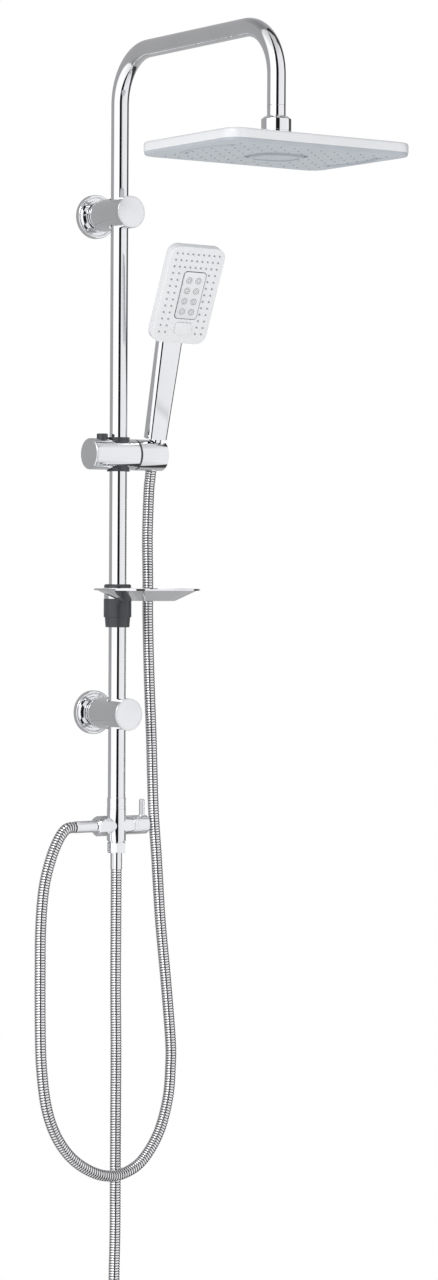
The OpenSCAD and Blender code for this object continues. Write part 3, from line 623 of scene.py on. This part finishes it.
def hex_nut(node, name, outline, place):
    """A hexagon nut with chamfered corners: a hexagon bar kept inside a turned outline."""
    low, high = min(z for _, z, _ in outline), max(z for _, z, _ in outline)
    across = max(r for r, _, _ in outline)
    bpy.ops.mesh.primitive_cylinder_add(vertices=6, radius=across * MM, depth=(high - low + 1) * MM,
                                        location=(0, 0, (low + high) / 2 * MM), rotation=(0, 0, math.pi / 6))
    nut = bpy.context.object
    settle(nut, place)
    carved(nut, turned(outline, place, closed=True), "INTERSECT")
    smooth(nut, 25)
    return finished(nut, name, node)


def rotated(axis, degrees):
    return Matrix.Rotation(math.radians(degrees), 4, axis)


def face_frame():
    """The frame on the handset's face: X across it, Y up it, Z out of it."""
    lean, turn, bend = HANDSET_ANGLES
    head = Matrix.Translation(SOCKET) @ rotated("X", lean) @ rotated("Z", turn)
    head = head @ Matrix.Translation((0, 0, HANDSET_LENGTHS[0] * MM)) @ rotated("X", bend)
    return head @ Matrix.Translation((0, 0, HANDSET_LENGTHS[1] * MM)) @ rotated("X", 90)


def curve_points(route, step):
    """Evenly spaced points on a smooth curve through a route given in millimetres, with their arc lengths."""
    knots = [Vector(p) * MM for p in route]
    fine = []
    for i in range(len(knots) - 1):
        a, b = knots[max(i - 1, 0)], knots[i]
        c, d = knots[i + 1], knots[min(i + 2, len(knots) - 1)]
        for k in range(40):
            t = k / 40
            fine.append(0.5 * (2 * b + (c - a) * t + (2 * a - 5 * b + 4 * c - d) * t * t
                               + (3 * b - a - 3 * c + d) * t ** 3))
    fine.append(knots[-1])
    lengths = [0.0]
    for p, q in zip(fine, fine[1:]):
        lengths.append(lengths[-1] + (q - p).length)
    count = max(2, round(lengths[-1] / step))
    points, at = [], 0
    for k in range(count + 1):
        want = lengths[-1] * k / count
        while at < len(fine) - 2 and lengths[at + 1] < want:
            at += 1
        share = (want - lengths[at]) / (lengths[at + 1] - lengths[at])
        points.append(fine[at].lerp(fine[at + 1], share))
    return points


# Height of a rib at each of its four rings, as a share of the groove's depth
RIB = (0.0, 0.86, 1.0, 0.86)


def ribbed_tube(name, points, radius, groove, sides=20):
    """A tube of ribs along evenly spaced points, four rings to a rib; returns the object and its ring centres."""
    mesh = bmesh.new()
    layer = mesh.verts.layers.float.new("rib")
    across, rings, last = None, [], None
    for i, point in enumerate(points):
        ahead = (points[min(i + 1, len(points) - 1)] - points[max(i - 1, 0)]).normalized()
        if across is None:
            across = ahead.cross(UP if abs(ahead.z) < 0.9 else RIGHT).normalized()
        across = (across - ahead * across.dot(ahead)).normalized()
        side = ahead.cross(across)
        height = RIB[i % len(RIB)]
        here = radius - groove * (1 - height)
        ring = []
        for k in range(sides):
            turn = 2 * math.pi * k / sides
            vertex = mesh.verts.new(point + here * (math.cos(turn) * across + math.sin(turn) * side))
            vertex[layer] = height
            ring.append(vertex)
        if last:
            for k in range(sides):
                mesh.faces.new((last[k], last[(k + 1) % sides], ring[(k + 1) % sides], ring[k]))
        else:
            mesh.faces.new(list(reversed(ring)))
        last = ring
        rings.append(point)
    mesh.faces.new(last)
    data = bpy.data.meshes.new(name)
    mesh.to_mesh(data)
    mesh.free()
    obj = bpy.data.objects.new(name, data)
    bpy.context.collection.objects.link(obj)
    for polygon in data.polygons:
        polygon.use_smooth = len(polygon.vertices) == 4
    return obj, rings


# ---------- operators: one for each piece or group of like pieces ----------

class ShowerOperator(bpy.types.Operator):
    """Shared settings of the shower's operators."""
    bl_options = {"REGISTER", "UNDO"}


class SHOWER_OT_stage(ShowerOperator):
    """Adds the camera, the pale floor and the soft studio light"""
    bl_idname = "shower.stage"
    bl_label = "Camera, Floor and Light"

    def execute(self, context):
        settings = context.scene.shower_stage
        self.add_camera(settings)
        self.add_floor(settings)
        self.add_room(settings)
        self.add_lamp("key_light", (-3.2, -1.6, 2.6), 1.6, 40.0)
        context.scene.view_settings.view_transform = "Standard"
        return {"FINISHED"}

    def add_camera(self, settings):
        turn, tilt, roll = settings.turn, -settings.tilt, settings.roll
        ahead = Vector((math.sin(turn) * math.cos(tilt), math.cos(turn) * math.cos(tilt), math.sin(tilt)))
        right = Vector((math.cos(turn), -math.sin(turn), 0))
        up = right.cross(ahead)
        rolled = math.cos(roll) * right + math.sin(roll) * up
        above = rolled.cross(ahead)
        bpy.ops.object.camera_add(location=settings.place)
        camera = bpy.context.object
        camera.name = "camera"
        axes = Matrix((rolled, above, -ahead)).transposed().to_4x4()
        camera.matrix_world = Matrix.Translation(settings.place) @ axes
        camera.data.lens = settings.lens
        camera.data.sensor_width = 36
        camera.data.clip_end = 60
        bpy.context.scene.camera = camera

    def add_floor(self, settings):
        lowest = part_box("supply_end_nut")[0][2]
        bpy.ops.mesh.primitive_plane_add(size=40, location=(0, 0, lowest - settings.floor_drop))
        floor = bpy.context.object
        floor.name = "floor"
        material, tree, _ = start_material("Pale floor", tuple(settings.backdrop), 0.0, 0.9)
        place = tree.nodes.new("ShaderNodeTexCoord").outputs["Object"]
        tone = spread_between(tree, noise(tree, place, 2.0), 0.0, 1.0, 0.995, 1.0)
        glow = tree.nodes.new("ShaderNodeEmission")
        tree.links.new(tone, glow.inputs["Strength"])
        tree.links.new(glow.outputs["Emission"], tree.nodes["Material Output"].inputs["Surface"])
        floor.data.materials.append(material)
        floor.visible_glossy = False

    def add_room(self, settings):
        """A bright room with a few dark uprights, which draw the lines that polished tube shows."""
        world = bpy.data.worlds.new("Studio")
        world.use_nodes = True
        bpy.context.scene.world = world
        tree = world.node_tree
        tree.nodes.clear()
        way = tree.nodes.new("ShaderNodeTexCoord").outputs["Generated"]
        split = tree.nodes.new("ShaderNodeSeparateXYZ")
        tree.links.new(way, split.inputs["Vector"])
        turn = math_node(tree, "ARCTAN2", split.outputs["X"], math_node(tree, "MULTIPLY", split.outputs["Y"], -1.0))
        turn = math_node(tree, "ADD", turn, settings.turn)
        turn = math_node(tree, "WRAP", math_node(tree, "DIVIDE", turn, 2 * math.pi), 0.5)
        turn.node.inputs[2].default_value = -0.5
        turn = math_node(tree, "ADD", turn, 0.5)
        ramp = grey_ramp(tree, [(0.5 + degrees / 360, level) for degrees, level in ROOM])
        tree.links.new(turn, ramp.inputs["Fac"])
        height = grey_ramp(tree, [(0.5 + sine / 2, level) for sine, level in HEIGHTS])
        tree.links.new(math_node(tree, "MULTIPLY_ADD", split.outputs["Z"], 0.5), height.inputs["Fac"])
        height.inputs["Fac"].links[0].from_node.inputs[2].default_value = 0.5
        seen_light = multiplied(tree, ramp.outputs["Color"], height.outputs["Color"])
        room = tree.nodes.new("ShaderNodeBackground")
        room.inputs["Strength"].default_value = 1.08
        tree.links.new(seen_light, room.inputs["Color"])
        plain = tree.nodes.new("ShaderNodeBackground")
        plain.inputs["Color"].default_value = (1.0, 1.0, 1.0, 1.0)
        seen = tree.nodes.new("ShaderNodeLightPath").outputs["Is Camera Ray"]
        join = tree.nodes.new("ShaderNodeMixShader")
        tree.links.new(seen, join.inputs["Fac"])
        tree.links.new(room.outputs["Background"], join.inputs[1])
        tree.links.new(plain.outputs["Background"], join.inputs[2])
        tree.links.new(join.outputs["Shader"], tree.nodes.new("ShaderNodeOutputWorld").inputs["Surface"])

    def add_lamp(self, name, place, size, power):
        bpy.ops.object.light_add(type="AREA", location=place)
        lamp = bpy.context.object
        lamp.name = name
        lamp.data.size = size
        lamp.data.energy = power
        aim = Vector((0, -0.1, 0.2)) - Vector(place)
        lamp.rotation_euler = aim.to_track_quat("-Z", "Y").to_euler()


class SHOWER_OT_finishes(ShowerOperator):
    """Builds the finishes and gives each CAD piece the one of its record slot"""
    bl_idname = "shower.finishes"
    bl_label = "Finishes"

    def execute(self, context):
        make_finishes(context.scene.shower_metal, context.scene.shower_plastic)
        for slot, nodes in slots_of_nodes().items():
            for node in nodes:
                wear(frame["nodes"][node], slot)
        return {"FINISHED"}


def slots_of_nodes():
    """The record's material slots and the nodes that take each one."""
    found = {}
    for part in frame["record"]["subparts"]:
        found.setdefault(part["material_slot"], []).append(part["node"])
    return found


class SHOWER_OT_shower_hose(ShowerOperator):
    """Lays the ribbed hose from the outlet to the handset, in the stretches that its moving end needs"""
    bl_idname = "shower.shower_hose"
    bl_label = "Shower Hose"

    def execute(self, context):
        size = context.scene.shower_hose
        points = curve_points(reversed(SHOWER_ROUTE), size.pitch / 4)
        step = (points[1] - points[0]).length
        cuts = [len(points) - 1]
        for length in HOSE_ENDS:
            cuts.append((cuts[-1] - round(length * MM / step)) // 4 * 4)
        main, centres = ribbed_tube("shower_hose_run", points[:cuts[-1] + 1], size.radius, size.groove)
        new_piece(main, "shower_hose_run", "hose_steel", "column", "shower_hose")
        main.parent = None
        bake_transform(main)
        bodies = ("slider_carriage", "slider", "holder", "handset")
        for number in range(3):
            first, last = cuts[3 - number], cuts[2 - number]
            end, line = ribbed_tube("hose_end", points[first:last + 1], size.radius, size.groove)
            name = f"shower_hose_end_{number + 1}"
            new_piece(end, name, "hose_steel", bodies[number])
            end.parent = None
            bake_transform(end)
        return {"FINISHED"}


class SHOWER_OT_supply_hose(ShowerOperator):
    """Hangs the ribbed supply hose below the diverter"""
    bl_idname = "shower.supply_hose"
    bl_label = "Supply Hose"

    def execute(self, context):
        size = context.scene.shower_hose
        points = curve_points(SUPPLY_ROUTE, size.pitch / 4)
        hose, centres = ribbed_tube("supply_hose_run", points, size.radius, size.groove)
        new_piece(hose, "supply_hose_run", "hose_steel", "column", "supply_hose")
        return {"FINISHED"}


class SHOWER_OT_brackets(ShowerOperator):
    """Turns the wall rosettes with their rolled lips and the brackets' end caps"""
    bl_idname = "shower.brackets"
    bl_label = "Wall Brackets"

    def execute(self, context):
        for level in ("lower", "upper"):
            place = along(OUT, (0, 0, centre(f"{level}_rosette").z))
            rosette = turned([(24.5, 0, 0), (27.5, 0, 0), (27.5, 7.5, 1.4), (24.6, 7.5, 1.0), (23.4, 4.9, 1.2),
                              (20.2, 4.9, 0), (20.2, 3.3, 0), (24.5, 3.3, 0)], place, closed=True, steps=96)
            finished(rosette, f"{level}_wall_flange", f"{level}_rosette")
            cap = turned([(0, 75.6, 0), (14.9, 75.6, 0), (14.9, 80.9, 0), (20, 80.9, 0), (20, 85.5, 0.9),
                          (18.2, 85.5, 0.15), (18.0, 85.3, 0.15), (17.8, 85.5, 0.15), (0, 85.5, 0)], place, steps=96)
            finished(cap, f"{level}_end_cap", f"{level}_cap")
            softened(f"{level}_barrel", f"{level}_bracket_barrel", 0.5)
        return {"FINISHED"}


class SHOWER_OT_rain_head(ShowerOperator):
    """Models the rain head's shell, face, island, waterfall lips, nozzles and swivel nut"""
    bl_idname = "shower.rain_head"
    bl_label = "Rain Head"

    def execute(self, context):
        low, high = HEAD_LOW.z / MM, HEAD_HIGH.z / MM
        place = Matrix.Translation(ARM_END)
        width, depth = ((HEAD_HIGH - HEAD_LOW) / MM)[:2]
        self.add_shell(width, depth, low, high, place)
        self.add_face(width, depth, low, place)
        self.add_nozzles(width, depth, low, place)
        nut = turned([(8.2, 689.5, 0), (16.9, 689.5, 0.5), (17.75, 690.6, 0.4), (17.75, 694.2, 0.15),
                      (17.45, 694.4, 0.1), (17.45, 694.8, 0.1), (17.75, 695.0, 0.15), (17.75, 708.0, 0.9),
                      (13.9, 711, 0.5), (10.45, 711, 0), (10.45, 695.6, 0), (9.6, 694.5, 0)], place, closed=True,
                     steps=96)
        finished(nut, "swivel_cap_nut", "swivel_nut")
        softened("arm_collar", "arm_end_collar", 0.35)
        return {"FINISHED"}

    def add_shell(self, width, depth, low, high, place):
        """A tray open below: rounded rim, flat roof and a boss for the swivel."""
        roof = high - 2.4
        shell = slab(width, depth, HEAD_CORNER, low + 4.7, roof, Matrix.Identity(4), top=3.6, foot=0.8)
        carved(shell, slab(width - 2 * SHELL_WALL, depth - 2 * SHELL_WALL, HEAD_CORNER - SHELL_WALL, low - 5,
                           roof - 3.6, Matrix.Identity(4)))
        settle(shell, place)
        boss = turned([(10.6, roof - 6, 0), (20, roof - 6, 0), (20, roof + 0.6, 1.0), (19.2, high, 0.7),
                       (10.6, high, 0)], place, closed=True, steps=96)
        joined(shell, boss)
        smooth(shell, 32)
        finished(shell, "rain_head_shell", "head_back_shell")

    def add_face(self, width, depth, low, place):
        """The face plate with its raised island and the two curved lips of the waterfall outlets."""
        face = slab(width - 1.2, depth - 1.2, 21.4, low + 0.4, low + 4.6, place, foot=3.2)
        carved(face, slab(70, 65, 24, low - 3, low + 2.4, place))
        island = slab(60, 55, 20, low - 2.4, low + 3.4, place, foot=0.7)
        groove = slab(52, 47, 17, low - 2.6, low - 1.2, place)
        carved(island, groove)
        lips = []
        for side in (-1, 1):
            carved(face, self.arc(side, 112.5, 2.4, low + 0.4, place))
            lips.append(self.arc(side, 118, 2.1, low + 0.7, place))
        joined(face, island, *lips)
        smooth(face, 35)
        finished(face, "rain_head_face", "head_face_plate")

    def arc(self, side, reach, thickness, height, place):
        """A round bar curved along the left or right edge of the face, with flat ends."""
        bpy.ops.mesh.primitive_torus_add(major_radius=reach * MM, minor_radius=thickness * MM, major_segments=160,
                                         minor_segments=10, location=(0, -10 * MM, height * MM))
        bar = bpy.context.object
        settle(bar)
        activate(bar)
        bpy.ops.object.mode_set(mode="EDIT")
        cuts = (((0, 42 * MM, 0), (0, 1, 0)), ((0, -62 * MM, 0), (0, -1, 0)), ((0, 0, 0), (-side, 0, 0)))
        for point, normal in cuts:
            bpy.ops.mesh.select_all(action="SELECT")
            bpy.ops.mesh.bisect(plane_co=point, plane_no=normal, use_fill=True, clear_outer=True)
        bpy.ops.object.mode_set(mode="OBJECT")
        settle(bar, place)
        return bar

    def add_nozzles(self, width, depth, low, place):
        """The soft mat with a small tapered nozzle through each hole of the face."""
        nozzle = turned([(0, low - 0.4, 0), (0.55, low - 0.4, 0), (0.7, low - 0.4, 0), (1.4, low + 0.7, 0)],
                        Matrix.Identity(4), steps=10)
        across, deep = 12, 9
        places = [((i - (across - 1) / 2) * HEAD_PITCH * MM, (j - (deep - 1) / 2) * HEAD_PITCH * MM, 0)
                  for i in range(across) for j in range(deep)]
        nozzles = repeated(nozzle, places)
        settle(nozzles, place)
        mat = slab(width - 12, depth - 12, 16, low + 2.95, low + 4.75, place, top=0.4)
        joined(mat, nozzles)
        smooth(mat, 40)
        finished(mat, "rain_head_nozzles", "head_nozzle_mat")


class SHOWER_OT_slider(ShowerOperator):
    """Rounds the slider, its collars, its release button and the holder"""
    bl_idname = "shower.slider"
    bl_label = "Slider and Holder"

    def execute(self, context):
        softened("slider_body", "slider_housing", 0.9)
        softened("slider_bush", "slider_collars", 0.35)
        softened("friction_ring", "slider_seam_ring", 0.4)
        softened("holder", "handset_cradle", 1.1)
        softened("cone_nut", "hose_cone", 0.9)
        hub = RISER + SLIDER * UP
        end = turned([(0, -43.8, 0), (19.5, -43.8, 1.6), (19.5, -41.4, 0), (12, -41.4, 0), (12, -37.1, 0),
                      (0, -37.1, 0)], along(RIGHT, hub), steps=96)
        finished(end, "slider_end_plug", "slider_end_cap")
        button = turned([(0, -4, 0), (5, -4, 0), (5, 12, 0), (7, 12, 0), (7, 25.5, 1.0), (5.2, 25.5, 0.6),
                         (4.4, 24.9, 0.8), (0, 24.7, 0)], Matrix.Translation(hub + Vector((-24 * MM, 0, 0))))
        finished(button, "release_push_button", "release_button")
        return {"FINISHED"}


class SHOWER_OT_handset(ShowerOperator):
    """Models the handset's shell, grip, face, spray nozzles, jet panel, jets and button"""
    bl_idname = "shower.handset"
    bl_label = "Handset"

    def execute(self, context):
        softened("handset_back", "handset_shell", 1.4, slot="white_plastic")
        softened("handset_handle", "handset_grip", 2.6, 4)
        place = face_frame()
        face = slab(*FACE, 19.1, 21.6, place, top=1.3)
        window = slab(22.6, 15.6, 4.3, 10, 30, place @ Matrix.Translation(BUTTON_AT))
        carved(face, window)
        panel_place = place @ Matrix.Translation(PANEL_AT)
        carved(face, slab(31.8, 62.8, 4.9, 10, 30, panel_place))
        smooth(face, 30)
        finished(face, "handset_front", "handset_face")
        self.add_nozzles(place)
        panel = slab(30, 61, 4, 19.1, 22.6, panel_place, top=0.6)
        smooth(panel, 30)
        finished(panel, "jet_surround", "jet_panel")
        jet = turned([(0, 22.55, 0), (0.9, 22.55, 0), (1.3, 23.5, 0), (2.3, 23.5, 0.1), (2.5, 23.0, 0.1),
                      (3.2, 23.0, 0.1), (3.4, 23.9, 0.15), (3.9, 23.9, 0.15), (4.5, 22.8, 0), (4.5, 22.55, 0)],
                     Matrix.Identity(4), steps=24, rounding_steps=2)
        bore_shade_layer = jet.data.attributes.new("bore_shade", "FLOAT", "POINT")
        # Painted shade for the jets: full in the bore, strong on the outer side wall, half in the ring groove, none
        # on the faces.
        for vertex, bore_shade in zip(jet.data.vertices, bore_shade_layer.data):
            out = math.hypot(vertex.co.x, vertex.co.y) / MM
            bore_shade.value = 1.0 if out < 1.15 else 0.5 if 2.4 < out < 3.3 else 0.8 if out > 4.3 else 0.0
        jets = repeated(jet, [((2 + side * 6.4) * MM, (63 - down) * MM, 0)
                              for side in (-1, 1) for down in (43, 56.7, 70.4, 84.1)])
        settle(jets, place)
        smooth(jets, 30)
        finished(jets, "jet_rings", "jet_nozzles")
        softened("mode_button", "spray_button", 0.8)
        return {"FINISHED"}

    def add_nozzles(self, place):
        """The soft mat behind the face with its three rows and four columns of nozzles."""
        nozzle = turned([(0, 22.3, 0), (0.5, 22.3, 0), (0.6, 22.5, 0), (0.95, 22.5, 0), (1.3, 21.4, 0)],
                        Matrix.Identity(4), steps=10)
        places = [((i - 4) * 7.375 * MM, (54 - row * 8.6) * MM, 0) for row in range(3) for i in range(9)]
        places += [(side * column * MM, (54 - (i + 3) * 8.6) * MM, 0)
                   for side in (-1, 1) for column in (29.5, 21) for i in range(10)]
        nozzles = repeated(nozzle, places)
        settle(nozzles, place)
        mat = slab(70, 120, 10, 17.6, 19.0, place)
        carved(mat, slab(26, 19, 6, 10, 30, place @ Matrix.Translation(BUTTON_AT)))
        joined(mat, nozzles)
        smooth(mat, 40)
        finished(mat, "handset_nozzles", "handset_nozzle_mat")


class SHOWER_OT_springs(ShowerOperator):
    """Rounds the wire of the two return springs, which shorten as their buttons are pressed"""
    bl_idname = "shower.springs"
    bl_label = "Return Springs"

    def execute(self, context):
        spring = softened("release_spring", "button_return_spring", 0.12, 2)
        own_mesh(spring)
        spring = softened("mode_spring", "spray_button_spring", 0.12, 2)
        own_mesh(spring)
        return {"FINISHED"}


class SHOWER_OT_soap_dish(ShowerOperator):
    """Rounds the soap dish, the clamp's collar and its sleeve"""
    bl_idname = "shower.soap_dish"
    bl_label = "Soap Dish"

    def execute(self, context):
        softened("soap_dish", "soap_tray", 0.7)
        softened("dish_collet", "tray_collar", 0.6)
        softened("dish_sleeve", "tray_clamp_sleeve", 0.5)
        return {"FINISHED"}


class SHOWER_OT_diverter(ShowerOperator):
    """Rounds the diverter's body and models its collar, knob, lever, nuts and ferrules"""
    bl_idname = "shower.diverter"
    bl_label = "Diverter"

    def execute(self, context):
        softened("diverter_body", "diverter_cross", 0.5)
        hub = RISER + DIVERTER * UP
        collar = turned([(11.05, 21, 0), (11.8, 21, 0.3), (11.8, 25.6, 0.15), (11.5, 25.8, 0.1), (11.5, 26.2, 0.1),
                         (11.8, 26.4, 0.15), (11.8, 35, 0.6), (11.05, 35, 0)], Matrix.Translation(hub), closed=True)
        finished(collar, "diverter_top_ring", "diverter_collar")
        knob = turned([(0, 4.5, 0), (4, 4.5, 0), (4, 20.6, 0), (12, 20.6, 0.5), (12, 24.4, 0.15), (11.6, 24.6, 0.1),
                       (11.6, 25.2, 0.1), (12, 25.4, 0.15), (12, 43.4, 1.1), (0, 43.4, 0)], along(RIGHT, hub))
        finished(knob, "diverter_handle", "diverter_knob")
        lever = turned([(0, 5.2, 0), (3.5, 5.2, 0), (3.5, 32, 1.6), (0, 32, 0)],
                       Matrix.Translation(hub + Vector((38 * MM, 0, 0))), steps=32)
        finished(lever, "diverter_pin_lever", "diverter_lever")
        left = Matrix.Translation(hub) @ rotated("Y", -90)
        hex_nut("outlet_nut", "outlet_hex_nut", [(10.5, 14, 0), (11.4, 14, 0), (12.7, 15.4, 0), (12.7, 29.6, 0),
                (11.2, 31, 0.3), (7.6, 31, 0), (7.6, 27.2, 0), (10.5, 27.2, 0)], left)
        column = Matrix.Translation(RISER)
        hex_nut("supply_nut", "supply_hex_nut", [(7.6, -174, 0), (11.2, -174, 0.3), (12.7, -172.6, 0),
                (12.7, -162.4, 0), (11.4, -161, 0), (10.5, -161, 0), (10.5, -171.9, 0), (7.6, -171.9, 0)], column)
        softened("supply_end_nut", "wall_union_nut", 0.5)
        softened("outlet_ferrule", "outlet_crimp", 0.4)
        softened("supply_ferrules", "supply_crimps", 0.4)
        return {"FINISHED"}


# ---------- panel and registration ----------

class SHOWER_PT_panel(bpy.types.Panel):
    """Lists the shower's settings and pieces in the 3D view's sidebar."""
    bl_label = "Rainfall Shower"
    bl_idname = "SHOWER_PT_panel"
    bl_space_type = "VIEW_3D"
    bl_region_type = "UI"
    bl_category = "Shower"

    def draw(self, context):
        for group_name in SETTINGS:
            box = self.layout.box()
            group = getattr(context.scene, group_name)
            for prop in group.bl_rna.properties:
                if prop.identifier not in ("rna_type", "name"):
                    box.prop(group, prop.identifier)
        for operator in OPERATORS:
            self.layout.operator(operator.bl_idname)


SETTINGS = {
    "shower_stage": SHOWER_PG_stage,
    "shower_metal": SHOWER_PG_metal,
    "shower_plastic": SHOWER_PG_plastic,
    "shower_hose": SHOWER_PG_hose,
}
OPERATORS = (
    SHOWER_OT_stage,
    SHOWER_OT_finishes,
    SHOWER_OT_brackets,
    SHOWER_OT_rain_head,
    SHOWER_OT_slider,
    SHOWER_OT_handset,
    SHOWER_OT_springs,
    SHOWER_OT_soap_dish,
    SHOWER_OT_diverter,
    SHOWER_OT_shower_hose,
    SHOWER_OT_supply_hose,
)


def register():
    for group in (*SETTINGS.values(), *OPERATORS, SHOWER_PT_panel):
        bpy.utils.register_class(group)
    for group_name, group in SETTINGS.items():
        setattr(bpy.types.Scene, group_name, bpy.props.PointerProperty(type=group))


def unregister():
    for group_name in SETTINGS:
        delattr(bpy.types.Scene, group_name)
    for group in (SHOWER_PT_panel, *reversed(OPERATORS), *SETTINGS.values()):
        bpy.utils.unregister_class(group)


def main():
    register()
    for operator in OPERATORS:
        family, name = operator.bl_idname.split(".")
        nothing_selected()
        getattr(getattr(bpy.ops, family), name)()
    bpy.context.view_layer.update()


if __name__ == "__main__":
    main()
